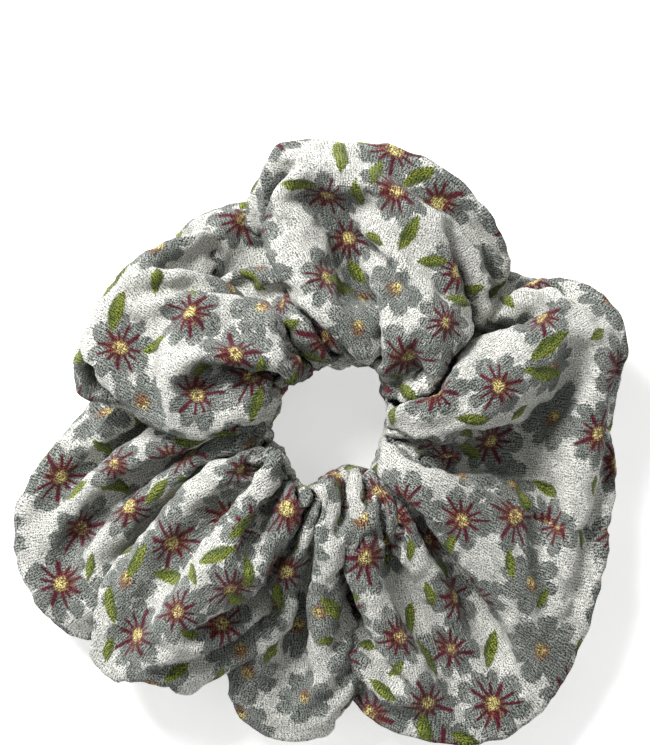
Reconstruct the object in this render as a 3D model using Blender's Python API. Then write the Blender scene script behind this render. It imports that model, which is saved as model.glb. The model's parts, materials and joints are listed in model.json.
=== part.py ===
"""A scrunchie lying flat: a gathered tube of printed crepe round a loop of flat elastic, and its seam threads.

Metres, +Z up. The origin is the middle of the footprint, on the surface that the scrunchie lies on.
"""

import math

import bmesh
import bpy
from mathutils import Vector

# Driving dimensions
HOLE_CENTRE = Vector((0.0012, 0.0036, 0.0))  # the middle of the hole and of the elastic, in plan
HOLE_RADIUS = 0.0117  # mean radius of the hole that the hair goes through
COVER_HEIGHT = 0.0345  # mean height of the gathered cover
CLOTH = 0.0008  # two crinkled plies of crepe under the thumb
GAP = 0.0003  # clearance between pieces that touch

# How far the lobes and the notches between them reach from the origin, in plan: (degrees, metres)
REACH = (
    (8, 0.0565), (20, 0.0652), (42, 0.0500), (70, 0.0605), (100, 0.0600), (116, 0.0510),
    (145, 0.0490), (178, 0.0520), (198, 0.0645), (228, 0.0595), (248, 0.0540), (261, 0.0585),
    (271, 0.0550), (303, 0.0680), (328, 0.0610), (350, 0.0585),
)

# Gathers: waves in the hole's edge and in the height, which run out from the elastic
GATHERS = 12
GATHER_RISE = 0.0028
HOLE_WAVE = 0.0009
STATIONS_PER_GATHER = 6
STATIONS = GATHERS * STATIONS_PER_GATHER

# The wall's section, from the slit round the top to the slit: (share of the width, share of the height)
SECTION = (
    (0.035, 0.22), (0.0, 0.42), (0.02, 0.65), (0.10, 0.84), (0.24, 0.96), (0.42, 1.0), (0.62, 0.95),
    (0.80, 0.82), (0.94, 0.60), (1.0, 0.38), (0.95, 0.14), (0.84, 0.0), (0.56, 0.0),
)
FLAT_START = 0.0255  # radius from the hole's centre where the flat underside begins

# The long seam, on the underside next to the hole: both edges of the strip turn in as flaps
SLIT_MOUTH = (0.0170, 0.0026)  # radius from the hole's centre, and height
SLIT_ANGLE = math.radians(45)
FLAP_LENGTH = 0.006
SEAM_LINE = 0.003  # stitches' distance from the fold
THREAD_RADIUS = 0.00028

# The join across the strip, where its two short ends meet
CROSS_SEAM_ANGLE = math.radians(327.5)
CROSS_SEAM_HALF = math.radians(2.0)

# The hand-closed stretch of the long seam, through which the elastic went in
CLOSING_START = math.radians(200)
CLOSING_STITCHES = 14
CLOSING_PITCH = 0.0026
CLOSING_HALF_WIDTH = 0.0013

# Elastic: one flat strip whose ends overlap and are sewn together
ELASTIC_RADIUS = 0.0200
ELASTIC_WIDTH = 0.0060
ELASTIC_THICKNESS = 0.0010
ELASTIC_HEIGHT = 0.0160  # of its middle, above the surface
ELASTIC_START = math.radians(75)
ELASTIC_OVERLAP = 0.012
ELASTIC_STATIONS = 80
ELASTIC_CROSSING = math.radians(32)  # the turn over which the outer end steps out over the inner one
ZIGZAGS = 5


def material(name, colour, roughness):
    made = bpy.data.materials.new(name)
    made.use_nodes = True
    shader = made.node_tree.nodes["Principled BSDF"]
    shader.inputs["Base Color"].default_value = (*colour, 1.0)
    shader.inputs["Roughness"].default_value = roughness
    shader.inputs["Metallic"].default_value = 0.0
    return made


def add_object(name, data, finish):
    made = bpy.data.objects.new(name, data)
    data.materials.append(finish)
    bpy.context.scene.collection.objects.link(made)
    return made


def polar(radius, angle, height):
    """A point given by its radius and angle about the hole's centre."""
    return HOLE_CENTRE + Vector((radius * math.cos(angle), radius * math.sin(angle), height))


def reach_at(angle):
    """The outline's distance from the origin at an angle: smooth, and level at each lobe and notch."""
    degrees = math.degrees(angle) % 360
    stops = [(REACH[-1][0] - 360, REACH[-1][1]), *REACH, (REACH[0][0] + 360, REACH[0][1])]
    for (a, low), (b, high) in zip(stops, stops[1:]):
        if a <= degrees <= b:
            share = (degrees - a) / (b - a)
            return low + (high - low) * share * share * (3 - 2 * share)
    return stops[0][1]


def outer_radius(angle):
    """The outline's distance from the hole's centre, along a ray at that angle about the hole's centre."""
    ray = Vector((math.cos(angle), math.sin(angle)))
    low, high = 0.0, 0.09
    for _ in range(30):
        middle = (low + high) / 2
        place = HOLE_CENTRE.xy + middle * ray
        inside = place.length < reach_at(math.atan2(place.y, place.x))
        low, high = (middle, high) if inside else (low, middle)
    return low


def offset(path, distance):
    """The path moved sideways to its right by a distance, with mitred corners."""
    moved = []
    for i, point in enumerate(path):
        before = (point - path[i - 1]).normalized() if i else None
        after = (path[i + 1] - point).normalized() if i + 1 < len(path) else None
        headings = [h for h in (before, after) if h]
        normals = [Vector((h.y, -h.x)) for h in headings]
        middle = sum(normals, Vector((0, 0))).normalized()
        moved.append(point + middle * distance / middle.dot(normals[0]))
    return moved


def slit_point(along, across):
    """A point in the section: along the slit from its mouth, and across it towards the hole."""
    c, s = math.cos(SLIT_ANGLE), math.sin(SLIT_ANGLE)
    return Vector((SLIT_MOUTH[0] + along * c - across * s, SLIT_MOUTH[1] + along * s + across * c))


def outer_path(angle):
    """The cloth's right side in the section at an angle, from one flap's tip round the top to the other's."""
    wave = math.cos(GATHERS * angle)
    inner = HOLE_RADIUS + HOLE_WAVE * wave
    width = outer_radius(angle) - inner
    height = COVER_HEIGHT + GATHER_RISE * wave
    wall = [Vector((inner + across * width, up * height)) for across, up in SECTION]
    under = [Vector((FLAT_START, 0.0))]
    start = [slit_point(FLAP_LENGTH, GAP), slit_point(0, GAP)]
    end = [slit_point(0, -GAP), slit_point(FLAP_LENGTH, -GAP)]
    return start + wall + under + end


def station_angle(index):
    return 2 * math.pi * index / STATIONS


def inner_path(angle, depth):
    """The line at a depth inside the cloth's right side, between stations as the wall's facets run."""
    place = (angle % (2 * math.pi)) / (2 * math.pi) * STATIONS
    first = int(place)
    a, b = (offset(outer_path(station_angle(i)), depth) for i in (first, first + 1))
    share = place - first
    # a facet is a chord, so a point between two stations lies nearer the centre
    chord = math.cos(math.pi / STATIONS) / math.cos((share - 0.5) * 2 * math.pi / STATIONS)
    return [Vector((p.lerp(q, share).x * chord, p.lerp(q, share).y)) for p, q in zip(a, b)]


def loft(name, rings, finish, closed):
    """A body skinned through rings of points: a closed loop of them, or one with its two ends capped."""
    mesh = bpy.data.meshes.new(name)
    shape = bmesh.new()
    rows = [[shape.verts.new(p) for p in ring] for ring in rings]
    pairs = list(zip(rows, rows[1:] + rows[:1])) if closed else list(zip(rows, rows[1:]))
    for one, two in pairs:
        for i in range(len(one)):
            j = (i + 1) % len(one)
            shape.faces.new((one[i], one[j], two[j], two[i]))
    if not closed:
        shape.faces.new(rows[0])
        shape.faces.new(rows[-1])
    bmesh.ops.recalc_face_normals(shape, faces=shape.faces)
    shape.to_mesh(mesh)
    shape.free()
    mesh.shade_smooth()
    mesh.set_sharp_from_angle(angle=math.radians(50))
    return add_object(name, mesh, finish)


def thread(name, points, finish, cyclic=False):
    """A round thread through the points."""
    curve = bpy.data.curves.new(name, "CURVE")
    curve.dimensions = "3D"
    curve.bevel_depth = THREAD_RADIUS
    curve.bevel_resolution = 1
    curve.use_fill_caps = True
    spline = curve.splines.new("POLY")
    spline.points.add(len(points) - 1)
    for target, point in zip(spline.points, points):
        target.co = (*point, 1.0)
    spline.use_cyclic_u = cyclic
    return add_object(name, curve, finish)


def cover(finish):
    """The strip of crepe, sewn into a tube and gathered round the elastic, with its edges turned in at the slit."""
    rings = []
    for i in range(STATIONS):
        angle = station_angle(i)
        right_side = outer_path(angle)
        wrong_side = offset(right_side, CLOTH)
        section = right_side + wrong_side[::-1]
        rings.append([polar(p.x, angle, p.y) for p in section])
    return loft("fabric_cover", rings, finish, closed=True)


def long_seam(finish):
    """The lockstitch that holds the two flaps together: a needle thread on one side and a bobbin thread on the other."""
    away = 2 * GAP + CLOTH + THREAD_RADIUS
    for name, side in (("long_seam_needle_thread", 1), ("long_seam_bobbin_thread", -1)):
        place = slit_point(SEAM_LINE, side * away)
        ring = [polar(place.x, station_angle(i), place.y) for i in range(STATIONS)]
        thread(name, ring, finish, cyclic=True)


def cross_seam(finish):
    """The lockstitch that joins the strip's two short ends: two threads round the inside of the tube."""
    depth = CLOTH + 1.5 * GAP + THREAD_RADIUS
    for name, side in (("cross_seam_needle_thread", 1), ("cross_seam_bobbin_thread", -1)):
        angle = CROSS_SEAM_ANGLE + side * CROSS_SEAM_HALF
        wall = inner_path(angle, depth)[2:-2]
        thread(name, [polar(p.x, angle, p.y) for p in wall], finish)


def closing_stitch(finish):
    """The hand stitch over the slit's mouth that closes the stretch where the elastic went in."""
    points = []
    for i in range(CLOSING_STITCHES):
        angle = CLOSING_START + i * CLOSING_PITCH / SLIT_MOUTH[0]
        side = 1 if i % 2 else -1
        out = -(2.6 * GAP + THREAD_RADIUS)
        place = slit_point(out, side * CLOSING_HALF_WIDTH)
        points.append(polar(place.x, angle, place.y))
    thread("closing_stitch_thread", points, finish)


def elastic_inner_radius(turned):
    """The strip's inner face: round, then stepping out over its own start."""
    start = 2 * math.pi - ELASTIC_CROSSING
    share = min(1.0, max(0.0, (turned - start) / ELASTIC_CROSSING))
    step = ELASTIC_THICKNESS + GAP
    return ELASTIC_RADIUS + step * share * share * (3 - 2 * share)


def elastic(finish, thread_finish):
    """One flat strip in a loop, its outer end lying over its inner end, with a zigzag stitch through both."""
    overlap = ELASTIC_OVERLAP / ELASTIC_RADIUS
    whole = 2 * math.pi + overlap
    low, high = ELASTIC_HEIGHT - ELASTIC_WIDTH / 2, ELASTIC_HEIGHT + ELASTIC_WIDTH / 2
    rings = []
    for i in range(ELASTIC_STATIONS + 1):
        turned = whole * i / ELASTIC_STATIONS
        inner = elastic_inner_radius(turned)
        outer = inner + ELASTIC_THICKNESS
        section = ((inner, low), (outer, low), (outer, high), (inner, high))
        rings.append([polar(r, ELASTIC_START + turned, z) for r, z in section])
    loft("elastic_band", rings, finish, closed=False)

    outside = ELASTIC_RADIUS + 2 * ELASTIC_THICKNESS + 2 * GAP + THREAD_RADIUS
    inside = ELASTIC_RADIUS - 1.5 * GAP - THREAD_RADIUS
    rise = 0.35 * ELASTIC_WIDTH
    sides = (("elastic_join_needle_thread", outside + GAP / 2), ("elastic_join_bobbin_thread", inside))
    for name, radius in sides:
        zigzag = []
        for i in range(2 * ZIGZAGS + 1):
            angle = ELASTIC_START + overlap * (0.12 + 0.76 * i / (2 * ZIGZAGS))
            zigzag.append(polar(radius, angle, ELASTIC_HEIGHT + (rise if i % 2 else -rise)))
        thread(name, zigzag, thread_finish)


def main():
    for old in list(bpy.data.objects):
        bpy.data.objects.remove(old)
    crepe = material("printed_crepe", (0.62, 0.62, 0.60), 0.9)
    knit = material("elastic_knit", (0.90, 0.89, 0.86), 0.75)
    cotton = material("sewing_thread", (0.84, 0.84, 0.81), 0.6)
    cover(crepe)
    long_seam(cotton)
    cross_seam(cotton)
    closing_stitch(cotton)
    elastic(knit, cotton)


main()
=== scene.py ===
"""A scrunchie of printed crepe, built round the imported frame.

The cover is one strip of cloth, sewn into a tube and gathered on a loop of elastic. Its folds come
from the cloth solver below, which starts from a sweep of the tube along the line of its outer edge.
The print is laid out flat on the strip, so it runs through the folds and stops at the seams, as
printed cloth does. Lengths are in millimetres until a mesh is made, where MM turns them into metres.
"""

import json
import math

import bpy
import numpy as np
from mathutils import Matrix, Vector
from mathutils.bvhtree import BVHTree


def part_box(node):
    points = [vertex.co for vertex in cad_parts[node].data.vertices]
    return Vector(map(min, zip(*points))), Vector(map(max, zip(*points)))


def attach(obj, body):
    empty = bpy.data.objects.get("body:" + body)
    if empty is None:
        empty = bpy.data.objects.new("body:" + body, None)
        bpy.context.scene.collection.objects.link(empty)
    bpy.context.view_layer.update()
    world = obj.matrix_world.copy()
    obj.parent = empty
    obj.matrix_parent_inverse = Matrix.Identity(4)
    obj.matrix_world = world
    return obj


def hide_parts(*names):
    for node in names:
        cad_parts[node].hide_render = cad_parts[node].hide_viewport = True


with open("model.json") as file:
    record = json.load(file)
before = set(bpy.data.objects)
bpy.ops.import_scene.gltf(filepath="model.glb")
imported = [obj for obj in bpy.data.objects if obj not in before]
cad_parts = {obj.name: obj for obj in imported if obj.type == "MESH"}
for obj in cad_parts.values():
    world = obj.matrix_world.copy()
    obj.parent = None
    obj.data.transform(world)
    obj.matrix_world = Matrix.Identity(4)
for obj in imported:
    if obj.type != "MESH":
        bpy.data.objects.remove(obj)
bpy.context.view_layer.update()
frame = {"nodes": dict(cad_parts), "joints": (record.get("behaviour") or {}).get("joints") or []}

MM = 0.001

# The frame: the elastic's axis is the joint's
AXIS = np.array(frame["joints"][0]["pos_m"]) / MM
HOLE = AXIS[:2]
ELASTIC_LOW, ELASTIC_HIGH = (np.array(corner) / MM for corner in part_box("elastic_band"))

# The strip
STRIP_LENGTH = 560.0
TUBE_GIRTH = 124.0
CLOTH_THICKNESS = 0.45

# The solver's grid: rows run along the strip, columns round the tube from the hole's edge over the top
ROWS = 312
COLUMNS = 72
ROW_STEP = STRIP_LENGTH / ROWS
COLUMN_STEP = TUBE_GIRTH / COLUMNS

# The tube's outer edge, fold by fold, anticlockwise from the right: x, y, z, then the angle in degrees
# and the height that the same row has at the hole, and how deep the top ply sinks into a crease there
FOLDS = {
    "right": (
        (50, -47, 12, 312, 16, 0), (54, -36, 14, 313, 16, 0), (56.5, -24, 15, 315, 16, 0),
        (58, -13, 13, 321, 14, 0), (57, -5, 8, 328, 12, 9),
    ),
    "upper_right": (
        (56.5, 3, 14, 334, 15, 0), (54, 9, 12, 338, 15, 6), (59, 13.5, 18, 340, 18, 0),
        (62, 21, 20, 343, 20, 0), (56, 29.7, 19, 348, 19, 0), (44, 32.5, 15, 351, 17, 0),
        (32, 25, 6, 354, 17, 9),
    ),
    "top": (
        (38, 33.5, 15, 356, 18, 0), (35, 42, 21, 361, 20, 0), (24, 54.5, 25, 376, 21, 0),
        (13, 58.5, 23, 400, 19, 0), (2, 59, 22, 416, 11, 6), (-8, 60.5, 26, 427, 17, 0),
        (-11.5, 59, 26, 430, 19, 0), (-12.5, 48, 22, 433, 20, 0), (-11, 38, 16, 436, 18, 0),
        (-2, 34, 7, 438, 12, 8),
    ),
    "behind": (
        (-13, 46.5, 8, 443, 12, 0), (-22, 45, 11, 464, 15, 0), (-31, 37.5, 10, 484, 13, 0),
        (-24, 32, 8, 493, 12, 0),
    ),
    "upper_left": (
        (-21, 42.5, 20, 500, 20, 0), (-33.5, 35.5, 23, 513, 20, 0), (-42, 27, 23, 522, 20, 0),
        (-47, 17, 22, 531, 19, 0), (-50.5, 7, 19, 536, 19, 0), (-40, 7.5, 20, 538, 19, 0),
        (-28, 9, 17, 540, 18, 0), (-30, 12, 5, 542, 12, 8),
    ),
    "left": (
        (-50, 3, 9, 545, 12, 0), (-58, -5, 12, 547, 13, 0), (-63.5, -14, 13, 549, 14, 6),
        (-64, -25, 12, 551, 14, 0), (-57, -37, 10, 553, 13, 5), (-49, -43, 8, 554, 12, 0),
        (-26, -23, 4, 555, 11, 12),
    ),
    "lower_left": (
        (-38, -25, 15, 556, 17, 0), (-43, -36, 14, 557, 18, 0), (-48, -46, 14, 559, 19, 0),
        (-43, -50.5, 16, 566, 21, 0), (-35.5, -45, 19, 575, 22, 0), (-30, -52, 17, 585, 21, 0),
        (-22, -48, 14, 594, 18, 0), (-13, -36, 6, 598, 12, 13),
    ),
    "bottom": (
        (-20, -50, 5, 600, 12, 0), (-16, -59, 8, 605, 14, 0), (-10, -62, 10, 610, 15, 0),
        (-5, -63, 10, 616, 15, 10), (1, -62, 10, 638, 17, 0), (3, -52, 8, 657, 16, 0),
        (4, -36, 4, 663, 11, 13),
    ),
    "lower_right": (
        (4, -52, 10, 664, 14, 0), (12, -59, 13, 665, 16, 0), (24, -62, 14, 666, 16, 12),
        (36, -64, 13, 668, 16, 0), (45, -57, 12, 670, 16, 12),
    ),
}
CREASE_WIDTH = 8.0

# The hole's edge: degrees and radius
HOLE_EDGE = (
    (0, 11.0), (25, 12.0), (50, 14.0), (80, 12.0), (115, 9.8), (150, 11.6), (170, 11.0), (200, 12.4),
    (215, 11.2), (245, 14.2), (275, 9.2), (310, 11.6), (340, 10.4),
)

# The elastic's loop, for the cloth round it
ELASTIC_RADIUS = 21.0
ELASTIC_HEIGHT = (ELASTIC_LOW[2] + ELASTIC_HIGH[2]) / 2
ELASTIC_ROOM = (3.3, 4.7)  # half width and half height of the room that the elastic keeps
START_ROOM = (7.0, 6.0)  # the same, before the solver runs

# How the tube starts: puffed up and down from its middle, with small gathers at the hole
PUFF = 9.0
EVEN_PUFF = 0.35  # the share of it that doesn't grow with the outer edge's distance from the hole
NEAR_REACH, FAR_REACH = 38.0, 50.0  # the distances between which the rest of it grows
GATHERS = 20
GATHER_HEIGHT = 3.5
HOLE_RADIUS = 13.2
HOLE_WAVE = 1.4
UNDER_PLEATS = 13
UNDER_PLEAT_HEIGHT = 2.5
START_LOW = 0.6  # the lowest point of the tube above the floor

# The solver
STEPS = 160
PASSES = 3  # of keeping the cloth's lengths and its plies' gap, in each step
PRESSURE = 0.004
WEIGHT = 0.006
MOMENTUM = 0.9
SLOWING = 0.6  # the share of the steps after which the cloth is slowed to rest
TOP_SPEED = 0.8
RELAXING = 0.575  # how much of each length's error is put right in one pass
PLY_GAP = 1.62
SEARCH_REACH = 1.5  # how far plies are looked for, in gaps
SEARCH_EVERY = 4
EDGE_HOLD = 0.18
FLOOR_GAP = 0.5
INNER_FOLD = (0.4, 5.0)  # how far behind the hole's edge the inner fold may lie
STRETCHES = (  # rows apart, columns apart, stiffness
    (1, 0, 1.0), (0, 1, 1.0), (1, 1, 0.4), (1, -1, 0.4),
    (2, 0, 0.06), (0, 2, 0.06), (4, 0, 0.01), (0, 4, 0.01),
)

# The lowest that the finished cloth's inner and outer face may lie
FLOOR_TOUCH = 0.05
OUTER_FLOOR_TOUCH = 0.17

# The surface's own relief
GATHER_RELIEF = 0.34  # small gathers, which fade out away from the hole
GATHER_REACH = 22.0
PLEAT_RELIEF = 0.08
CRUMPLE_RELIEF = 0.12
CRINKLE_RELIEF = 0.09
SEAM_DEPTH = 0.8
SEAM_WIDTH = 0.9
SEAM_PUCKER = 0.35

# Where the strip's ends are sewn together, as a row, and its long edges, as a column on the underside, on
# the finished cloth, whose grid is twice as fine as the solver's
CROSS_SEAM_ROW = 26
LONG_SEAM_COLUMN = 130

# The print: the flowers that stand out from above, with rays and without. The rest are random
RAYED_FLOWERS = (
    (1, 48), (14, 49), (23, 47), (26, 33), (5, 40), (16, 16),  # top
    (43, 24), (34, 11), (38, -16),  # right
    (-26, 25), (-40, 18), (-25, 9), (-53, -8), (-49, -18),  # left
    (-16, -6), (-30, -20), (-20, -37), (-37, -39),  # lower left
    (-7, -14), (-8, -26), (8, -23), (15, -39), (21, -53), (34, -53),  # bottom
)
PLAIN_FLOWERS = ((14, 30), (46, 5), (41, -28), (43, -42), (-5, 17), (-12, 26), (-16, -47), (-5, -37))
# The leaves that stand out: x, y, the turn in degrees and the length
LEAVES = (
    (3, 56, -65, 9), (-5, 50, 0, 8), (3, 30, -50, 9), (16, 40, 60, 8), (34, 43, -45, 7),
    (44, 18, 40, 10), (43, 13, -10, 9), (28, 2, -45, 9), (45, -10, -30, 7), (24, -26, -70, 5),
    (-41, 25, 75, 9), (-13, 7, 70, 8), (-15, -16, 30, 9), (-21, -22, 20, 9), (-37, -24, 65, 8),
    (-50, -10, 55, 6), (2, -34, -45, 7), (-29, -46, 35, 6),
)
FLOWER_SPACING = 8.8
SEEN_SIZES = (0.92, 1.12)
FILL_SPACING = 11.2
FILL_SIZES = (0.85, 1.1)
FILL_RAYED_SHARE = 0.62
FILL_FLOWER_TRIES = 9000
FILL_MARGIN = 5.0  # how far outside the strip a flower's middle may lie, so that the seams cut it
LEAF_CLEAR = 4.5
LEAF_SPACING = 6.5
LEAF_LENGTHS = (4.5, 9.5)
LONGEST_LEAF = 11
FILL_LEAVES = 330
FILL_LEAF_TRIES = 6000
LEAF_WIDTH = 1.35  # half of it, for a leaf 8 mm long
STEEP = 0.15  # the share of a face that shows from above, below which a leaf's turn there means nothing


# ---------------------------------------------------------------- the folds


def edge_points():
    return np.array([point for fold in FOLDS.values() for point in fold], float)


def spline_through(points, rows):
    """A smooth closed curve through the points, cut into rows of even length; and where each point is."""
    count = len(points)
    first_angle = points[0, 3]
    turned = points.copy()
    turned[:, 3] -= first_angle + 360 * np.arange(count) / count
    spans = []
    for i in range(count):
        a, b, c, d = (turned[(i + k) % count] for k in (-1, 0, 1, 2))
        t = np.cumsum([0.0, *(np.linalg.norm((q - p)[:3]) ** 0.5 for p, q in ((a, b), (b, c), (c, d)))])
        at = np.linspace(t[1], t[2], 24, endpoint=False)[:, None]
        ab = (a * (t[1] - at) + b * (at - t[0])) / (t[1] - t[0])
        bc = (b * (t[2] - at) + c * (at - t[1])) / (t[2] - t[1])
        cd = (c * (t[3] - at) + d * (at - t[2])) / (t[3] - t[2])
        abc = (ab * (t[2] - at) + bc * (at - t[0])) / (t[2] - t[0])
        bcd = (bc * (t[3] - at) + cd * (at - t[1])) / (t[3] - t[1])
        span = (abc * (t[2] - at) + bcd * (at - t[1])) / (t[2] - t[1])
        span[:, 3] += first_angle + 360 * (i + (at[:, 0] - t[1]) / (t[2] - t[1])) / count
        spans.append(span)
    dense = np.concatenate(spans)
    steps = np.linalg.norm((np.roll(dense, -1, 0) - dense)[:, :3], axis=1)
    along = np.concatenate([[0], np.cumsum(steps)])
    last = dense[:1].copy()
    last[:, 3] += 360
    dense = np.vstack([dense, last])
    at = np.linspace(0, along[-1], rows, endpoint=False)
    even = np.stack([np.interp(at, along, dense[:, k]) for k in range(dense.shape[1])], 1)
    return even, along[::24][:count] / along[-1]


def smooth_round(values, width):
    """The values of a closed line, blurred over a width in rows."""
    count = len(values)
    bell = np.exp(-0.5 * ((np.arange(count) - count // 2) / width) ** 2)
    bell = np.roll(bell / bell.sum(), -(count // 2))
    return np.real(np.fft.ifft(np.fft.fft(values) * np.fft.fft(bell)))


def wander(random, share, size):
    """A slow random wave along the strip, which closes on itself."""
    waves = np.arange(1, 7)
    heights = random.normal(0, 1, 6) / waves**0.5
    starts = random.uniform(0, 2 * np.pi, 6)
    return size * np.sin(2 * np.pi * np.outer(share, waves) + starts) @ heights


def starting_tube():
    """The tube before the solver runs, as rows of points; and the outer edge that it is led to."""
    points = edge_points()
    line, places = spline_through(points, ROWS)
    outer, angle, hole_height = line[:, :3], np.radians(line[:, 3]), line[:, 4]
    share = np.arange(ROWS) / ROWS
    random = np.random.default_rng(5)
    gather = 2 * np.abs(np.sin(np.pi * GATHERS * share + wander(random, share, 0.5))) ** 0.6 - 1
    pleat = np.sin(2 * np.pi * UNDER_PLEATS * share + wander(random, share, 0.7))
    reach = np.linalg.norm(outer[:, :2] - HOLE, axis=1)
    pulled_out = np.clip((smooth_round(reach, 0.02 * ROWS) - NEAR_REACH) / (FAR_REACH - NEAR_REACH), 0.15, 1)
    radius = HOLE_RADIUS + HOLE_WAVE * np.cos(2 * np.pi * GATHERS * share)
    inner = np.stack([HOLE[0] + radius * np.cos(angle), HOLE[1] + radius * np.sin(angle), hole_height], 1)
    sink = np.zeros(ROWS)
    for place, depth in zip(places, points[:, 5]):
        away = ((share - place + 0.5) % 1 - 0.5) * STRIP_LENGTH
        sink += depth * np.exp(-((away / CREASE_WIDTH) ** 2))
    tube = np.zeros((ROWS, COLUMNS, 3))
    for column in range(COLUMNS):
        turn = 2 * np.pi * column / COLUMNS
        out, up = (1 - np.cos(turn)) / 2, np.sin(turn)
        ring = inner * (1 - out) + outer * out
        lift = up * PUFF * (EVEN_PUFF + (1 - EVEN_PUFF) * pulled_out)
        ring[:, 2] += lift + GATHER_HEIGHT * (1 - out) ** 6 * gather
        if up > 0:
            ring[:, 2] -= sink * np.sin(np.pi * min(out / 0.9, 1)) ** 0.5
        else:
            ring[:, 2] -= UNDER_PLEAT_HEIGHT * pleat * up
        away = (np.hypot(*(ring[:, :2] - HOLE).T) - ELASTIC_RADIUS) / START_ROOM[0]
        room = START_ROOM[1] * np.sqrt(np.clip(1 - away**2, 0, 1))
        if up > 0:
            cleared = np.maximum(ring[:, 2], ELASTIC_HEIGHT + room)
        else:
            cleared = np.minimum(ring[:, 2], ELASTIC_HEIGHT - room)
        ring[:, 2] = np.maximum(np.where(room > 0, cleared, ring[:, 2]), START_LOW)
        tube[:, column] = ring
    return tube, outer


def outward(tube):
    """The tube's normals, which point out of it."""
    along = np.roll(tube, -1, 0) - np.roll(tube, 1, 0)
    across = np.roll(tube, -1, 1) - np.roll(tube, 1, 1)
    normal = np.cross(across, along)
    return normal / np.maximum(np.linalg.norm(normal, axis=2, keepdims=True), 1e-9)


def keep_lengths(tube):
    """Moves the points so that the cloth keeps its length, width and squareness."""
    shift = np.zeros_like(tube)
    for rows, columns, stiffness in STRETCHES:
        rest = math.hypot(rows * ROW_STEP, columns * COLUMN_STEP)
        apart = np.roll(tube, (-rows, -columns), (0, 1)) - tube
        length = np.sqrt((apart * apart).sum(2, keepdims=True)) + 1e-9
        pull = (0.5 * stiffness * (1 - rest / length)) * apart
        shift += pull - np.roll(pull, (rows, columns), (0, 1))
    return tube + shift * RELAXING


def near_pairs(tube, reach):
    """Points of the cloth that come within reach of each other and aren't neighbours in the weave."""
    span = 4096  # more cells than the tube is long in any direction
    flat = tube.reshape(-1, 3)
    cell = np.floor(flat / reach).astype(np.int64) + 64  # so that no cell has a number below 0
    key = (cell[:, 0] * span + cell[:, 1]) * span + cell[:, 2]
    order = np.argsort(key, kind="stable")
    keys = key[order]
    own = np.arange(len(flat))
    found = []
    sides = [(x, y, z) for x in (-1, 0, 1) for y in (-1, 0, 1) for z in (-1, 0, 1)]
    for x, y, z in (side for side in sides if side >= (0, 0, 0)):
        other = keys + (x * span + y) * span + z
        low = own + 1 if (x, y, z) == (0, 0, 0) else np.searchsorted(keys, other, "left")
        held = np.maximum(np.searchsorted(keys, other, "right") - low, 0)
        for k in range(int(held.max())):
            chosen = np.nonzero(held > k)[0]
            a, b = order[chosen], order[low[chosen] + k]
            apart = flat[a] - flat[b]
            near = (apart * apart).sum(1) < reach * reach
            found.append(np.stack([a[near], b[near]]))
    a, b = np.concatenate(found, 1)
    rows = np.abs(a // COLUMNS - b // COLUMNS)
    columns = np.abs(a % COLUMNS - b % COLUMNS)
    strangers = (np.minimum(rows, ROWS - rows) > 1) | (np.minimum(columns, COLUMNS - columns) > 1)
    return a[strangers], b[strangers]


def part_plies(tube, pairs):
    """Pushes plies that touch apart to their gap."""
    flat = tube.reshape(-1, 3)
    a, b = pairs
    apart = flat[a] - flat[b]
    length = np.sqrt((apart * apart).sum(1)) + 1e-9
    close = length < PLY_GAP
    a, b, apart, length = a[close], b[close], apart[close], length[close]
    push = (0.5 * (PLY_GAP - length) / length)[:, None] * apart
    count = len(flat)
    shift = [np.bincount(a, push[:, k], count) - np.bincount(b, push[:, k], count) for k in range(3)]
    touches = np.bincount(a, minlength=count) + np.bincount(b, minlength=count)
    moved = flat + np.stack(shift, 1) / np.maximum(touches, 1)[:, None] ** 0.7
    return moved.reshape(tube.shape)


def clear_elastic(points, more=0.0):
    """Moves the points out of the ring that the elastic keeps, and a distance more."""
    place = points[..., :2] - HOLE
    radius = np.linalg.norm(place, axis=-1)
    across, up = radius - ELASTIC_RADIUS, points[..., 2] - ELASTIC_HEIGHT
    half_width, half_height = (half + more for half in ELASTIC_ROOM)
    depth = ((across / half_width) ** 4 + (up / half_height) ** 4) ** 0.25
    grow = np.where(depth < 1, 1 / np.maximum(depth, 1e-3), 1.0)
    points[..., :2] = HOLE + place * ((across * grow + ELASTIC_RADIUS) / np.maximum(radius, 1e-6))[..., None]
    points[..., 2] = ELASTIC_HEIGHT + up * grow


def hole_radius(place):
    """The radius of the hole's edge in the direction of each place."""
    degrees = np.degrees(np.arctan2(place[..., 1], place[..., 0]))
    turns, radii = zip(*HOLE_EDGE)
    return np.interp(degrees % 360, (*turns, 360), (*radii, radii[0]))


def keep_hole(tube):
    """Holds the inner fold between the hole and the elastic, and the rest out of the hole."""
    place = tube[..., :2] - HOLE
    radius = np.maximum(np.linalg.norm(place, axis=2), 1e-6)
    edge = hole_radius(place)
    wanted = np.maximum(radius, edge)
    for column in (0, 1, 2, -1, -2):
        near, far = (edge[:, column] + gap for gap in INNER_FOLD)
        wanted[:, column] = np.clip(radius[:, column], near, np.minimum(far, ELASTIC_RADIUS - 4))
    tube[..., :2] = HOLE + place * (wanted / radius)[..., None]


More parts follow.
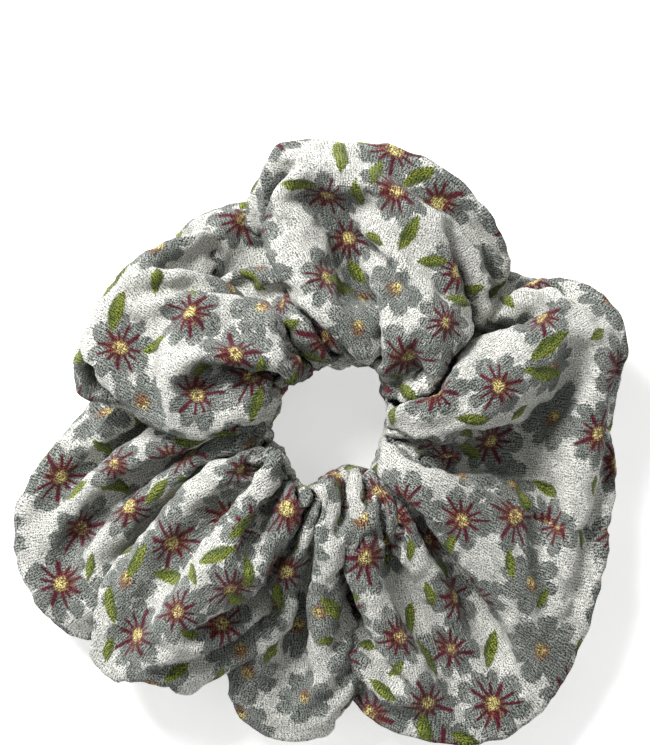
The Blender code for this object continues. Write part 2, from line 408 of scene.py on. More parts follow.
def settle():
    """The gathered tube: puffed by a little pressure, hung on its edge line, and left to fold."""
    tube, outer = starting_tube()
    speed = np.zeros_like(tube)
    pairs = None
    for step in range(STEPS):
        before = tube.copy()
        late = max(0.0, (step / STEPS - SLOWING) / (1 - SLOWING))
        tube = tube + speed * MOMENTUM * (1 - late) + PRESSURE * outward(tube)
        tube[..., 2] -= WEIGHT
        if step % SEARCH_EVERY == 0:
            pairs = near_pairs(tube, PLY_GAP * SEARCH_REACH)
        for _ in range(PASSES):
            tube = part_plies(keep_lengths(tube), pairs)
        tube[:, COLUMNS // 2] += EDGE_HOLD * (outer - tube[:, COLUMNS // 2])
        clear_elastic(tube)
        keep_hole(tube)
        tube[..., 2] = np.maximum(tube[..., 2], FLOOR_GAP)
        speed = tube - before
        rate = np.linalg.norm(speed, axis=2, keepdims=True)
        speed *= np.minimum(1, TOP_SPEED / np.maximum(rate, 1e-9))
    return tube


def refined(tube):
    """The tube with twice the rows and columns, on smooth curves through its points."""
    for axis in (0, 1):
        before, after, next_one = (np.roll(tube, shift, axis) for shift in (1, -1, -2))
        middle = (9 * (tube + after) - before - next_one) / 16
        tube = np.stack([tube, middle], axis + 1)
        shape = list(tube.shape)
        shape[axis : axis + 2] = [shape[axis] * 2]
        tube = tube.reshape(shape)
    return tube


def crinkle(shape, random, length, stretch):
    """Random bumps of about that length across the strip, and length / stretch along it."""
    rows, columns = shape
    waves = np.fft.fft2(random.normal(0, 1, shape))
    along = np.fft.fftfreq(rows, STRIP_LENGTH / rows)[:, None] * stretch
    across = np.fft.fftfreq(columns, TUBE_GIRTH / columns)[None]
    pitch = np.hypot(along, across) * length
    field = np.real(np.fft.ifft2(waves * np.exp(-((pitch - 1) ** 2) / 0.18)))
    return field / field.std()


# ---------------------------------------------------------------- the print


class Cloth:
    """The finished cloth: its points, and where each of its faces is on the flat strip."""

    def __init__(self, points):
        self.points = points
        self.rows, self.columns = points.shape[:2]
        self.row_step = STRIP_LENGTH / self.rows
        self.column_step = TUBE_GIRTH / self.columns
        grid = np.arange(self.rows * self.columns).reshape(self.rows, self.columns)
        right, up = np.roll(grid, -1, 1), np.roll(grid, -1, 0)
        self.faces = np.stack([grid, right, np.roll(right, -1, 0), up], -1).reshape(-1, 4)
        row, column = np.divmod(np.arange(len(self.faces)), self.columns)
        row = (row - CROSS_SEAM_ROW) % self.rows
        column = (column - LONG_SEAM_COLUMN) % self.columns
        x, y = np.array([(0, 0), (1, 0), (1, 1), (0, 1)]).T
        across = (column[:, None] + x) * self.column_step
        along = (row[:, None] + y) * self.row_step
        self.flat = np.stack([across, along], -1)
        self.middles = self.flat.mean(1)
        self.tree = BVHTree.FromPolygons(points.reshape(-1, 3).tolist(), self.faces.tolist())

    def seen_at(self, x, y):
        """The face that shows at x, y from above, or None."""
        high_above = Vector((x, y, 200))
        _, _, face, _ = self.tree.ray_cast(high_above, Vector((0, 0, -1)))
        return face

    def direction_at(self, face, degrees):
        """A direction seen from above, laid into the flat strip, and how much longer a length is along it."""
        a, b, _, d = self.points.reshape(-1, 3)[self.faces[face]]
        across, along = (b - a)[:2] / self.column_step, (d - a)[:2] / self.row_step
        wanted = np.array([math.cos(math.radians(degrees)), math.sin(math.radians(degrees))])
        matrix = np.stack([across, along], 1)
        if abs(np.linalg.det(matrix)) < STEEP:
            return wanted, 1.0
        flat = np.linalg.solve(matrix, wanted)
        length = np.linalg.norm(flat)
        return flat / length, length


def far_enough(place, others, distance):
    return not others or min(np.hypot(*(np.array(others) - place).T)) >= distance


def place_flowers(cloth, random):
    """Flowers on the flat strip, the seen ones first: places, kinds (1 has rays, 0 has none) and sizes."""
    flowers, kinds, sizes = [], [], []
    for kind, seen in ((1, RAYED_FLOWERS), (0, PLAIN_FLOWERS)):
        for x, y in seen:
            face = cloth.seen_at(x, y)
            if face is not None and far_enough(cloth.middles[face], flowers, FLOWER_SPACING):
                flowers.append(cloth.middles[face])
                kinds.append(kind)
                sizes.append(random.uniform(*SEEN_SIZES))
    low, high = np.array([-FILL_MARGIN] * 2), np.array([TUBE_GIRTH, STRIP_LENGTH]) + FILL_MARGIN
    for _ in range(FILL_FLOWER_TRIES):
        place = random.uniform(low, high)
        if far_enough(place, flowers, FILL_SPACING):
            flowers.append(place)
            kinds.append(int(random.random() < FILL_RAYED_SHARE))
            sizes.append(random.uniform(*FILL_SIZES))
    return np.array(flowers), np.array(kinds), np.array(sizes)


def place_leaves(cloth, flowers, random):
    """Leaves on the flat strip, as x, y, the direction and the length."""
    leaves = []
    for x, y, turn, length in LEAVES:
        face = cloth.seen_at(x, y)
        if face is not None:
            direction, longer = cloth.direction_at(face, turn)
            length = min(length * min(longer, 1.5), LONGEST_LEAF)
            leaves.append((*cloth.middles[face], *direction, length))
    for _ in range(FILL_LEAF_TRIES):
        place = random.uniform((0, 0), (TUBE_GIRTH, STRIP_LENGTH))
        clear = far_enough(place, [leaf[:2] for leaf in leaves], LEAF_SPACING)
        if len(leaves) < FILL_LEAVES and clear and far_enough(place, list(flowers), LEAF_CLEAR):
            turn = random.uniform(0, math.pi)
            leaves.append((*place, math.cos(turn), math.sin(turn), random.uniform(*LEAF_LENGTHS)))
    return np.array(leaves)


def nearest(middles, places, count):
    """For each face, the places nearest to it."""
    found = []
    batch = 20000
    for start in range(0, len(middles), batch):
        part = middles[start : start + batch]
        away = ((part[:, None] - places[None]) ** 2).sum(2)
        found.append(np.argpartition(away, count, 1)[:, :count])
        closest = np.take_along_axis(away, found[-1], 1).argsort(1)
        found[-1] = np.take_along_axis(found[-1], closest, 1)
    return np.concatenate(found)


def add_map(mesh, name, corners, copies):
    """A UV map that holds the corners' places, repeated for each skin of the cloth."""
    layer = mesh.uv_layers.new(name=name, do_init=False)
    layer.data.foreach_set("uv", np.concatenate([corner.reshape(-1) for corner in copies(corners)]))


def add_number(mesh, name, values, copies):
    """A number for each face."""
    attribute = mesh.attributes.new(name, "FLOAT", "FACE")
    attribute.data.foreach_set("value", np.concatenate(copies(values)).astype(np.float32))


def print_cloth(mesh, cloth, copies):
    """Gives every face its place on the strip, in the two flowers nearest to it and in the nearest leaf."""
    random = np.random.default_rng(11)
    flowers, kinds, sizes = place_flowers(cloth, random)
    leaves = place_leaves(cloth, flowers, random)
    turns = random.uniform(0, 2 * math.pi, len(flowers))
    seeds = random.uniform(0, 1, len(flowers))
    add_map(mesh, "strip", cloth.flat, copies)
    closest = nearest(cloth.middles, flowers, 2)
    for name, index in (("flower", closest[:, 0]), ("behind_flower", closest[:, 1])):
        away = (cloth.flat - flowers[index][:, None]) / sizes[index][:, None, None]
        cos, sin = np.cos(turns[index])[:, None], np.sin(turns[index])[:, None]
        x, y = away[..., 0], away[..., 1]
        add_map(mesh, name, np.stack([x * cos - y * sin, x * sin + y * cos], -1), copies)
        add_number(mesh, name + "_seed", seeds[index], copies)
    add_number(mesh, "rayed", kinds[closest[:, 0]], copies)
    near = nearest(cloth.middles, leaves[:, :2], 4)
    share = np.linalg.norm(cloth.middles[:, None] - leaves[near, :2], axis=2) / leaves[near, 4]
    index = np.take_along_axis(near, share.argmin(1)[:, None], 1)[:, 0]
    away = cloth.flat - leaves[index, None, :2]
    cos, sin, half = leaves[index, None, 2], leaves[index, None, 3], leaves[index, None, 4] / 2
    width = LEAF_WIDTH * np.sqrt(half / 4)
    x, y = away[..., 0], away[..., 1]
    placed = np.stack([(x * cos + y * sin) / half, (y * cos - x * sin) / width], -1)
    add_map(mesh, "leaf", placed, copies)


# ---------------------------------------------------------------- materials


class Field:
    """A number that varies over a surface: a node's output, so that nodes can be written as arithmetic."""

    def __init__(self, tree, socket):
        self.tree = tree
        self.socket = socket

    def math(self, operation, *others, clamp=False):
        node = self.tree.nodes.new("ShaderNodeMath")
        node.operation = operation
        node.use_clamp = clamp
        for socket, value in zip(node.inputs, (self, *others)):
            if isinstance(value, Field):
                self.tree.links.new(value.socket, socket)
            else:
                socket.default_value = value
        return Field(self.tree, node.outputs[0])

    def __add__(self, other):
        return self.math("ADD", other)

    def __sub__(self, other):
        return self.math("SUBTRACT", other)

    def __mul__(self, other):
        return self.math("MULTIPLY", other)

    def __truediv__(self, other):
        return self.math("DIVIDE", other)

    def above(self, edge, soft):
        """1 where the field is above the edge and 0 below it, with a soft step between."""
        return ((self - edge) / soft + 0.5).math("ADD", 0.0, clamp=True)

    def below(self, edge, soft):
        return (self * -1 - (edge * -1 if isinstance(edge, Field) else -edge)).above(0.0, soft)


def new_material(name, colour, roughness):
    material = bpy.data.materials.new(name)
    material.use_nodes = True
    material.diffuse_color = (*colour, 1)
    shader = material.node_tree.nodes["Principled BSDF"]
    shader.inputs["Base Color"].default_value = (*colour, 1)
    shader.inputs["Roughness"].default_value = roughness
    return material, material.node_tree, shader


def separate(tree, name):
    """The two coordinates of a UV map."""
    layer = tree.nodes.new("ShaderNodeUVMap")
    layer.uv_map = name
    parts = tree.nodes.new("ShaderNodeSeparateXYZ")
    tree.links.new(layer.outputs["UV"], parts.inputs[0])
    return Field(tree, parts.outputs[0]), Field(tree, parts.outputs[1])


def attribute(tree, name):
    node = tree.nodes.new("ShaderNodeAttribute")
    node.attribute_name = name
    return Field(tree, node.outputs["Fac"])


def noise(tree, x, y, across, along, detail=2.0, seed=0.0):
    """Noise whose bumps are about that wide and long, in the units of x and y."""
    place = tree.nodes.new("ShaderNodeCombineXYZ")
    tree.links.new((x / across).socket, place.inputs[0])
    tree.links.new((y / along).socket, place.inputs[1])
    place.inputs[2].default_value = seed
    node = tree.nodes.new("ShaderNodeTexNoise")
    node.inputs["Scale"].default_value = 1.0
    node.inputs["Detail"].default_value = detail
    tree.links.new(place.outputs[0], node.inputs["Vector"])
    return Field(tree, node.outputs[0])


def tint(tree, base, colour, amount):
    """The base colour with another colour over it, by an amount."""
    mix = tree.nodes.new("ShaderNodeMix")
    mix.data_type = "RGBA"
    tree.links.new(amount.socket, mix.inputs["Factor"])
    for socket, value in ((mix.inputs["A"], base), (mix.inputs["B"], colour)):
        if isinstance(value, tuple):
            socket.default_value = (*value, 1)
        else:
            tree.links.new(value, socket)
    return mix.outputs["Result"]


def dimmed(tree, colour, amount):
    """A colour multiplied by a field."""
    grey = tree.nodes.new("ShaderNodeCombineColor")
    for socket in grey.inputs:
        tree.links.new(amount.socket, socket)
    mix = tree.nodes.new("ShaderNodeMix")
    mix.data_type = "RGBA"
    mix.blend_type = "MULTIPLY"
    mix.inputs["Factor"].default_value = 1.0
    tree.links.new(colour, mix.inputs["A"])
    tree.links.new(grey.outputs[0], mix.inputs["B"])
    return mix.outputs["Result"]


def add_bump(tree, shader, height, distance):
    bump = tree.nodes.new("ShaderNodeBump")
    bump.inputs["Distance"].default_value = distance * MM
    bump.inputs["Strength"].default_value = 1.0
    tree.links.new(height.socket, bump.inputs["Height"])
    tree.links.new(bump.outputs[0], shader.inputs["Normal"])


# The print's colours
GROUND = (0.81, 0.81, 0.75)
PETAL = (0.158, 0.172, 0.155)
BURGUNDY = (0.086, 0.003, 0.013)
YELLOW = (0.60, 0.51, 0.19)
OCHRE = (0.20, 0.075, 0.016)
LEAF_GREEN = (0.155, 0.185, 0.024)
LEAF_SHADE = (0.05, 0.078, 0.014)

# A flower: the radius between its petals, and how much longer the petals are; its rays; its heart
NOTCH_RADIUS = 4.4
PETAL_LENGTH = 2.7
RAY_REACH = 4.5
RAY_START = 1.2
RAY_WIDTH = 0.32
HEART_RADIUS = 0.95
HALO_RADIUS = 1.45
HALO_PLACE = (-0.6, 0.4)

# The crepe's grain, and how strongly it lightens and darkens the cloth's colour: partly the yarns' own tone,
# partly painted shade where the grain's ridges and weave lie low
WEAVE_PITCH = 0.52
WEFT_HEIGHT = 0.08
WARP_HEIGHT = 0.04
RIDGE_CONTRAST = 8.0
WEAVE_CONTRAST = 7.0
DARKEST_GRAIN_SHADE = 0.2
CREPE_BUMP = 0.55

# The other materials' colours
THREAD_LIGHT = (0.74, 0.73, 0.69)
THREAD_SHADE = (0.55, 0.54, 0.50)
ELASTIC_LIGHT = (0.84, 0.83, 0.80)
# The elastic's darker colour is painted shade, for the gaps between the braid's yarns
ELASTIC_GAP_SHADE = (0.52, 0.51, 0.48)
BRAID_PITCH = 0.8


def wave(angle, count, start, size):
    """A sine wave along a field, such as the angle round a flower."""
    return (angle * count + start).math("SINE") * size


def petals(x, y, seed, ragged):
    """How far inside a flower's lobed outline a point is; and its radius and angle."""
    radius = (x * x + y * y).math("SQRT")
    angle = y.math("ARCTAN2", x)
    uneven = angle + wave(angle, 2, seed * 17, 0.16)
    lobes = (uneven * 4 + seed * 3).math("COSINE").math("ABSOLUTE").math("POWER", 0.6)
    outline = lobes * PETAL_LENGTH + wave(angle, 2, seed * 20, 0.45) + wave(angle, 3, seed * 31, 0.3)
    return outline + NOTCH_RADIUS - radius - ragged, radius, angle


def rays(radius, angle, seed, ragged):
    """The uneven strokes that run out from a flower's heart."""
    uneven = angle + wave(angle, 3, seed * 9, 0.11)
    side = (uneven * 5.5 + seed * 6).math("SINE").math("ABSOLUTE") * radius * 0.18 + ragged * 0.07
    reach = wave(angle, 3, seed * 40, 0.8) + wave(angle, 5, seed * 13, 0.5) + ragged * 0.4 + RAY_REACH
    return side.below(RAY_WIDTH, 0.28) * radius.below(reach, 0.7) * radius.above(RAY_START, 0.5)


def crepe_grain(tree, across, along):
    """The crepe's pebbled grain: short ridges whose direction wanders, and a finer weave, both about 0.5."""
    lean = (noise(tree, across, along, 2.6, 2.6, detail=1.0, seed=4.0) - 0.5) * 3.2
    ridges = noise(tree, across + lean, along, 0.22, 0.38)
    fine = noise(tree, across, along + lean, 0.18, 0.18, detail=1.0, seed=7.0)
    drift = noise(tree, across, along, 1.4, 1.4, detail=1.0, seed=8.0) * 0.9
    weft = wave(along + drift, 2 * math.pi / WEAVE_PITCH, 0.0, WEFT_HEIGHT)
    warp = wave(across + drift, 2 * math.pi / WEAVE_PITCH, 0.0, WARP_HEIGHT)
    return ridges, fine + (weft + warp)


def print_colour(tree, across, along):
    """The print's colour, and where the cloth is printed at all."""
    cloud = noise(tree, across, along, 4.0, 5.0, detail=3.0, seed=3.0)
    ragged = (noise(tree, across, along, 0.75, 0.75, detail=3.0, seed=5.0) - 0.5) * 1.5
    ragged += (noise(tree, across, along, 2.4, 2.4, detail=1.0, seed=6.0) - 0.5) * 2.4
    x, y = separate(tree, "flower")
    back_x, back_y = separate(tree, "behind_flower")
    seed = attribute(tree, "flower_seed")
    rayed = attribute(tree, "rayed")
    inside, radius, angle = petals(x, y, seed, ragged)
    behind, _, _ = petals(back_x, back_y, attribute(tree, "behind_flower_seed"), ragged)
    petal = inside.math("MAXIMUM", behind).above(0.0, 0.7)
    colour = tint(tree, GROUND, PETAL, petal * (cloud * 0.6 + 0.66).math("MINIMUM", 1.0))
    halo_x, halo_y = x - HALO_PLACE[0], y - HALO_PLACE[1]
    halo = (halo_x * halo_x + halo_y * halo_y).math("SQRT") + ragged * 0.5
    colour = tint(tree, colour, OCHRE, halo.below(rayed * 0.8 + HALO_RADIUS, 1.3) * 0.8)
    colour = tint(tree, colour, BURGUNDY, rays(radius, angle, seed, ragged) * rayed)
    speck = noise(tree, across, along, 0.8, 0.8, seed=9.0) + (x * 0.05)
    heart = (radius + ragged * 0.45).below(rayed * 0.3 + HEART_RADIUS, 0.9)
    colour = tint(tree, colour, YELLOW, heart * speck.above(seed * 0.12 + 0.40, 0.16) * 0.9)
    leaf_x, leaf_y = separate(tree, "leaf")
    leaf = (leaf_x * leaf_x * -1 + 1.0 - leaf_y.math("ABSOLUTE") - ragged * 0.25).above(0.0, 0.35)
    colour = tint(tree, colour, LEAF_GREEN, leaf)
    colour = tint(tree, colour, LEAF_SHADE, leaf * (leaf_y + ragged * 0.6).above(0.25, 0.5) * 0.8)
    return colour, petal.math("MAXIMUM", leaf)


def crepe_material():
    """Off-white crepe, printed with grey flowers and green leaves, its grain darkened in its small hollows
    with painted shade.
    """
    material, tree, shader = new_material("printed_crepe", GROUND, 0.92)
    across, along = separate(tree, "strip")
    ridges, fine = crepe_grain(tree, across, along)
    colour, printed = print_colour(tree, across, along)
    # The colour darkens where the ridges and weave lie low, as the bump below does: painted shade in the
    # crepe's small hollows, with some of the yarns' own tone
    grain = (ridges - 0.5) * RIDGE_CONTRAST + (fine - 0.5) * WEAVE_CONTRAST
    grain_tone_and_shade = grain * (printed * 1.2 + 0.8) + 1.05
    lit = grain_tone_and_shade.math("MAXIMUM", DARKEST_GRAIN_SHADE).math("MINIMUM", printed * 1.1 + 1.15)
    tree.links.new(dimmed(tree, colour, lit), shader.inputs["Base Color"])
    add_bump(tree, shader, ridges + fine * 0.6, CREPE_BUMP)
    shader.inputs["Sheen Weight"].default_value = 0.15
    shader.inputs["Sheen Roughness"].default_value = 0.5
    shader.inputs["Specular IOR Level"].default_value = 0.2
    return material


def thread_material():
    """Off-white spun polyester."""
    material, tree, shader = new_material("sewing_thread", THREAD_LIGHT, 0.6)
    place = tree.nodes.new("ShaderNodeNewGeometry")
    fibres = tree.nodes.new("ShaderNodeTexNoise")
    fibres.inputs["Scale"].default_value = 9000.0
    tree.links.new(place.outputs["Position"], fibres.inputs["Vector"])
    fuzz = Field(tree, fibres.outputs[0])
    tree.links.new(tint(tree, THREAD_LIGHT, THREAD_SHADE, fuzz), shader.inputs["Base Color"])
    add_bump(tree, shader, fuzz, 0.06)
    shader.inputs["Sheen Weight"].default_value = 0.2
    return material


def elastic_material():
    """White braided elastic: slanting yarns over the cords, crossed in turn, with painted shade in the gaps
    between the yarns.
    """
    material, tree, shader = new_material("elastic_knit", ELASTIC_LIGHT, 0.75)
    along, up = separate(tree, "band")
    left = ((along + up) * (math.pi / BRAID_PITCH)).math("SINE").math("ABSOLUTE")
    right = ((along - up) * (math.pi / BRAID_PITCH)).math("SINE").math("ABSOLUTE")
    yarn = left.math("MAXIMUM", right)
    fuzz = noise(tree, along, up, 0.15, 0.15)
    # Darker where the yarns lie low, as their bump does: painted shade in the gaps of the braid
    colour = tint(tree, ELASTIC_GAP_SHADE, ELASTIC_LIGHT, yarn * 0.8 + fuzz * 0.3)
    tree.links.new(colour, shader.inputs["Base Color"])
    add_bump(tree, shader, yarn + fuzz * 0.4, 0.12)
    return material


# ---------------------------------------------------------------- pieces

# Threads
THREAD_RADIUS = 0.13
SEAM_THREAD_DEPTH = 0.62
SEAM_THREAD_OFFSET = 0.3
STITCH_PITCH = 2.5
STITCH_DIP = 0.05
CLOSING_PITCH = 2.6
CLOSING_STITCHES = 14
CLOSING_ROWS = 48
CLOSING_HALF_WIDTH = 1.2
CLOSING_RISE = 0.45
CLOSING_DEPTH = 0.1
SEAM_POINTS = 6  # points of a thread's path for each stitch
CLOSING_POINTS = 12

# The elastic: a flat strip in a loop, its outer end lying over its inner end
BAND_RADIUS = 20.0
BAND_THICKNESS = 1.0
BAND_GAP = 0.3
BAND_START = math.radians(75)
BAND_OVERLAP = 12.0
BAND_CROSSING = math.radians(32)
BAND_CORDS = 6
BAND_GROOVE = 0.16
BAND_STATIONS = 420


def mesh_object(name, points, faces):
    mesh = bpy.data.meshes.new(name)
    mesh.from_pydata((points * MM).tolist(), [], [list(face) for face in faces])
    made = bpy.data.objects.new(name, mesh)
    bpy.context.scene.collection.objects.link(made)
    mesh.shade_smooth()
    return made


def surface_relief(cloth):
    """How far the cloth's surface stands out from the solver's smooth one, in millimetres."""
    random = np.random.default_rng(3)
    shape = (cloth.rows, cloth.columns)
    column = np.arange(cloth.columns)
    from_hole = np.minimum(column, cloth.columns - column) * cloth.column_step
    gathers = GATHER_RELIEF * np.exp(-((from_hole / GATHER_REACH) ** 2)) + PLEAT_RELIEF
    relief = gathers * crinkle(shape, random, length=16.0, stretch=0.32)
    relief += CRUMPLE_RELIEF * crinkle(shape, random, length=5.5, stretch=1.3)
    relief += CRINKLE_RELIEF * crinkle(shape, random, length=2.7, stretch=1.1)
    for places, seam, step in (
        (np.arange(cloth.rows)[:, None], CROSS_SEAM_ROW, cloth.row_step),
        (column[None], LONG_SEAM_COLUMN, cloth.column_step),
    ):
        count = cloth.rows if places.shape[0] > 1 else cloth.columns
        away = np.abs((places - seam + count / 2) % count - count / 2) * step
        pucker = 1 + SEAM_PUCKER * crinkle(shape, random, length=3.0, stretch=1.0)
        relief = relief - SEAM_DEPTH * np.exp(-((away / SEAM_WIDTH) ** 2)) * pucker
    return relief


def build_cover():
    """The cloth, printed, as an outer and an inner skin."""
    points = refined(settle())
    points = points + outward(points) * surface_relief(Cloth(points))[..., None]
    clear_elastic(points, CLOTH_THICKNESS)
    points[..., 2] = np.maximum(points[..., 2], OUTER_FLOOR_TOUCH)
    cloth = Cloth(points)
    count = points.shape[0] * points.shape[1]
    inner = points - outward(points) * CLOTH_THICKNESS
    clear_elastic(inner)
    inner[..., 2] = np.maximum(inner[..., 2], FLOOR_TOUCH)
    skins = np.concatenate([points.reshape(-1, 3), inner.reshape(-1, 3)])
    faces = np.concatenate([cloth.faces, cloth.faces[:, ::-1] + count])
    cover = mesh_object("crepe_cover", skins, faces)

    def both_skins(values):
        return [values, values[:, ::-1] if values.ndim > 1 else values]

    print_cloth(cover.data, cloth, both_skins)
    cover.data.materials.append(crepe_material())
    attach(cover, "cover")
    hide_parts("fabric_cover")
    return cover, cloth


def untwisted_sides(ahead, closed):
    """A direction across the path at each step, turned as little as possible from one step to the next."""
    side = np.cross(ahead[0], (0.36, 0.48, 0.80))
    sides = []
    for direction in (*ahead, ahead[0]):
        side = side - direction * (side @ direction)
        side = side / max(np.linalg.norm(side), 1e-9)
        sides.append(side)
    first, last, sides = sides[0], sides[-1], np.array(sides[:-1])
    if closed:
        twist = math.atan2(np.cross(last, first) @ ahead[0], last @ first)
        turn = (twist * np.arange(len(ahead)) / len(ahead))[:, None]
        sides = sides * np.cos(turn) + np.cross(ahead, sides) * np.sin(turn)
    return sides


def tube_object(name, path, radius, closed, sides=6):
    """A round thread along a path."""
    ahead = np.roll(path, -1, 0) - np.roll(path, 1, 0)
    if not closed:
        ahead[0], ahead[-1] = path[1] - path[0], path[-1] - path[-2]
    ahead /= np.maximum(np.linalg.norm(ahead, axis=1, keepdims=True), 1e-9)
    side = untwisted_sides(ahead, closed)
    up = np.cross(side, ahead)
    turns = 2 * np.pi * np.arange(sides) / sides
    ring = np.cos(turns)[None, :, None] * side[:, None] + np.sin(turns)[None, :, None] * up[:, None]
    path = path.copy()
    path[:, 2] = np.maximum(path[:, 2], FLOOR_TOUCH + radius)
    points = (path[:, None] + radius * ring).reshape(-1, 3)
    grid = np.arange(len(path) * sides).reshape(len(path), sides)
    near = grid if closed else grid[:-1]
    far = np.roll(grid, -1, 0) if closed else grid[1:]
    faces = np.stack([near, far, np.roll(far, -1, 1), np.roll(near, -1, 1)], -1).reshape(-1, 4).tolist()
    if not closed:
        faces += [grid[0].tolist(), grid[-1, ::-1].tolist()]
    made = mesh_object(name, points, faces)
    made.data.materials.append(bpy.data.materials["sewing_thread"])
    return made


def even_path(points, normals, step, closed):
    """The path and its normals at an even step."""
    if closed:
        points, normals = (np.concatenate([a, a[:1]]) for a in (points, normals))
    along = np.concatenate([[0], np.cumsum(np.linalg.norm(np.diff(points, axis=0), axis=1))])
    count = int(along[-1] / step)
    at = np.linspace(0, along[-1], count, endpoint=not closed)
    path = np.stack([np.interp(at, along, points[:, k]) for k in range(3)], 1)
    facing = np.stack([np.interp(at, along, normals[:, k]) for k in range(3)], 1)
    facing /= np.linalg.norm(facing, axis=1, keepdims=True)
    return path, facing, at


def kept_inside(path, cloth):
    """The closed path, moved inwards wherever it would come through a fold, and smoothed."""
    for _ in range(5):
        for i, point in enumerate(path):
            place, normal, _, _ = cloth.tree.find_nearest(Vector(point))
            if (place - Vector(point)).dot(normal) < SEAM_THREAD_DEPTH:
                path[i] = place - normal * SEAM_THREAD_DEPTH
        path = (np.roll(path, 1, 0) + path * 2 + np.roll(path, -1, 0)) / 4
        clear_elastic(path)
    return path


def lockstitch(name, cloth, line, normals, beside, side):
    """One thread of a seam, inside the tube next to the seam's line, dipping at each stitch."""
    inside = line - normals * SEAM_THREAD_DEPTH + beside * side * SEAM_THREAD_OFFSET
    path, facing, at = even_path(inside, normals, STITCH_PITCH / SEAM_POINTS, closed=True)
    path -= facing * (STITCH_DIP * np.cos(2 * np.pi * at / STITCH_PITCH))[:, None]
    path = kept_inside(path, cloth)
    return tube_object(name, path, THREAD_RADIUS, closed=True)


def whip_stitch(name, line, normals, beside, count):
    """A hand stitch that winds over the seam's line outside and through the cloth inside."""
    step = CLOSING_PITCH / CLOSING_POINTS
    path, facing, at = even_path(line, normals, step, closed=False)
    aside, _, _ = even_path(line + beside, normals, step, closed=False)
    across = aside[: len(path)] - path[: len(aside)]
    keep = min(len(across), count * CLOSING_POINTS)
    path, facing, across, at = path[:keep], facing[:keep], across[:keep], at[:keep]
    across /= np.linalg.norm(across, axis=1, keepdims=True)
    turn = (2 * np.pi * at / CLOSING_PITCH)[:, None]
    rise = CLOSING_RISE * np.sin(turn) - CLOSING_DEPTH
    path = path + across * CLOSING_HALF_WIDTH * np.cos(turn) + facing * rise
    return tube_object(name, path, THREAD_RADIUS, closed=False)


def build_threads(cloth):
    """The seams' threads, laid along the folded cloth's own seam lines."""
    thread_material()
    normals = outward(cloth.points)
    across = np.roll(cloth.points, -1, 1) - np.roll(cloth.points, 1, 1)
    along = np.roll(cloth.points, -1, 0) - np.roll(cloth.points, 1, 0)
    across, along = (a / np.linalg.norm(a, axis=2, keepdims=True) for a in (across, along))
    row, column = CROSS_SEAM_ROW, LONG_SEAM_COLUMN
    long_seam = cloth.points[:, column], normals[:, column], across[:, column]
    cross_seam = cloth.points[row], normals[row], along[row]
    made = {}
    for name, side in (("needle", 1), ("bobbin", -1)):
        made[f"long_seam_{name}_thread"] = lockstitch(f"long_seam_{name}", cloth, *long_seam, side)
        made[f"cross_seam_{name}_thread"] = lockstitch(f"cross_seam_{name}", cloth, *cross_seam, side)
    low, high = (np.array(corner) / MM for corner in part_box("closing_stitch_thread"))
    toward = (low + high)[:2] / 2 - HOLE
    place = cloth.points[:, column, :2] - HOLE
    cosine = place @ toward / np.linalg.norm(place, axis=1)
    middle = int(cosine.argmax())
    rows = np.arange(middle - CLOSING_ROWS // 2, middle + CLOSING_ROWS // 2) % cloth.rows
    slit = (part[rows, column] for part in (cloth.points, normals, across))
    made["closing_stitch_thread"] = whip_stitch("closing_stitch", *slit, CLOSING_STITCHES)
    for node, piece in made.items():
        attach(piece, "cover")
        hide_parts(node)
    return list(made.values())


def band_radius(turned):
    """The elastic's inner face: round, then stepping out over its own start."""
    share = np.clip((turned - 2 * np.pi + BAND_CROSSING) / BAND_CROSSING, 0, 1)
    return BAND_RADIUS + (BAND_THICKNESS + BAND_GAP) * share * share * (3 - 2 * share)


def band_surface():
    """The elastic's surface as a grid: how far round each station is, each side's height, and the points."""
    turned = np.linspace(0, 2 * np.pi + BAND_OVERLAP / BAND_RADIUS, BAND_STATIONS)
    share = np.linspace(0, 1, 6 * BAND_CORDS + 1)
    height = ELASTIC_LOW[2] + (ELASTIC_HIGH[2] - ELASTIC_LOW[2]) * share
    groove = BAND_GROOVE * (1 - np.abs(np.sin(np.pi * BAND_CORDS * share)) ** 0.7)
    inner = band_radius(turned)[:, None] + groove
    outer = band_radius(turned)[:, None] + BAND_THICKNESS - groove
    radius = np.concatenate([inner, outer[:, ::-1]], 1)
    height = np.concatenate([height, height[::-1]])
    angle = (BAND_START + turned)[:, None]
    x, y = HOLE[0] + radius * np.cos(angle), HOLE[1] + radius * np.sin(angle)
    return turned, height, np.stack([x, y, np.broadcast_to(height, radius.shape)], -1)


def add_band_map(mesh, turned, height):
    """A UV map of the elastic: millimetres along it and up it."""
    layer = mesh.uv_layers.new(name="band", do_init=False)
    corner = np.zeros(len(mesh.loops), np.int32)
    mesh.loops.foreach_get("vertex_index", corner)
    station, side = np.divmod(corner, len(height))
    place = np.stack([turned[station] * BAND_RADIUS, height[side]], 1)
    layer.data.foreach_set("uv", place.astype(np.float32).ravel())


def build_elastic():
    """The loop of braided elastic, its ends overlapped and sewn."""
    turned, height, points = band_surface()
    stations, sides = points.shape[:2]
    grid = np.arange(stations * sides).reshape(stations, sides)
    near, far = grid[:-1], grid[1:]
    faces = np.stack([near, far, np.roll(far, -1, 1), np.roll(near, -1, 1)], -1).reshape(-1, 4).tolist()
    faces += [grid[0].tolist(), grid[-1, ::-1].tolist()]
    band = mesh_object("braided_elastic", points.reshape(-1, 3), faces)
    add_band_map(band.data, turned, height)
    band.data.materials.append(elastic_material())
    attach(band, "elastic")
    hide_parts("elastic_band")
    for name in ("elastic_join_needle_thread", "elastic_join_bobbin_thread"):
        materials = frame["nodes"][name].data.materials
        materials.clear()
        materials.append(bpy.data.materials["sewing_thread"])
    return band


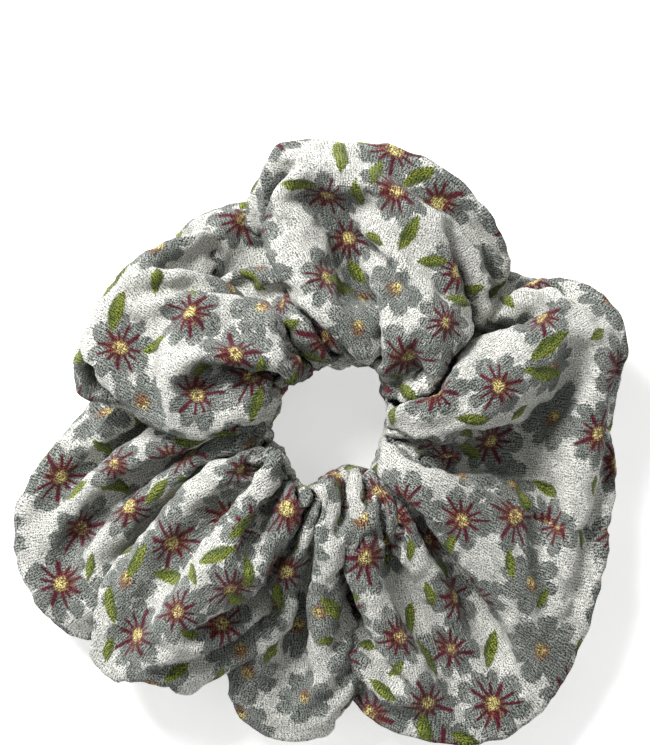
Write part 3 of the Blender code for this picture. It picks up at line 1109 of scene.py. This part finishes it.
# ---------------------------------------------------------------- floor, light and camera

PICTURE_WIDTH = 130.0
PICTURE_CENTRE = (0.1, 13.2)
FOCUS_HEIGHT = 15.0
LENS = 170.0
SENSOR = 36.0

FLOOR_HALF = 1500.0
FLOOR_GLOW = 0.5
WORLD_LIGHT = 0.40
KEY_PLACE = (-300, 420, 480)
KEY_SIZE = 240
KEY_POWER = 7.5


def add_floor():
    half = FLOOR_HALF
    corners = np.array([(-half, -half, 0), (half, -half, 0), (half, half, 0), (-half, half, 0)])
    floor = mesh_object("floor", corners, np.array([[0, 1, 2, 3]]))
    material, _, shader = new_material("pale_floor", (0.95, 0.95, 0.95), 0.9)
    shader.inputs["Emission Color"].default_value = (1, 1, 1, 1)
    shader.inputs["Emission Strength"].default_value = FLOOR_GLOW
    floor.data.materials.append(material)


def add_area_light(name, place, size, power):
    data = bpy.data.lights.new(name, "AREA")
    data.size = size * MM
    data.energy = power
    light = bpy.data.objects.new(name, data)
    light.location = Vector(place) * MM
    light.rotation_euler = (-light.location).to_track_quat("-Z", "Y").to_euler()
    bpy.context.scene.collection.objects.link(light)


def add_lights():
    world = bpy.data.worlds.new("studio")
    world.use_nodes = True
    background = world.node_tree.nodes["Background"]
    background.inputs["Color"].default_value = (1, 1, 1, 1)
    background.inputs["Strength"].default_value = WORLD_LIGHT
    bpy.context.scene.world = world
    add_area_light("key", KEY_PLACE, KEY_SIZE, KEY_POWER)
    bpy.context.scene.view_settings.view_transform = "Standard"


def add_camera():
    """Looks straight down, as the photograph does."""
    data = bpy.data.cameras.new("camera")
    data.lens = LENS
    data.sensor_width = SENSOR
    data.sensor_fit = "HORIZONTAL"
    camera = bpy.data.objects.new("camera", data)
    camera.location = Vector((*PICTURE_CENTRE, FOCUS_HEIGHT + PICTURE_WIDTH * LENS / SENSOR)) * MM
    bpy.context.scene.collection.objects.link(camera)
    bpy.context.scene.camera = camera


cover, cloth = build_cover()
threads = build_threads(cloth)
elastic = build_elastic()
add_floor()
add_lights()
add_camera()
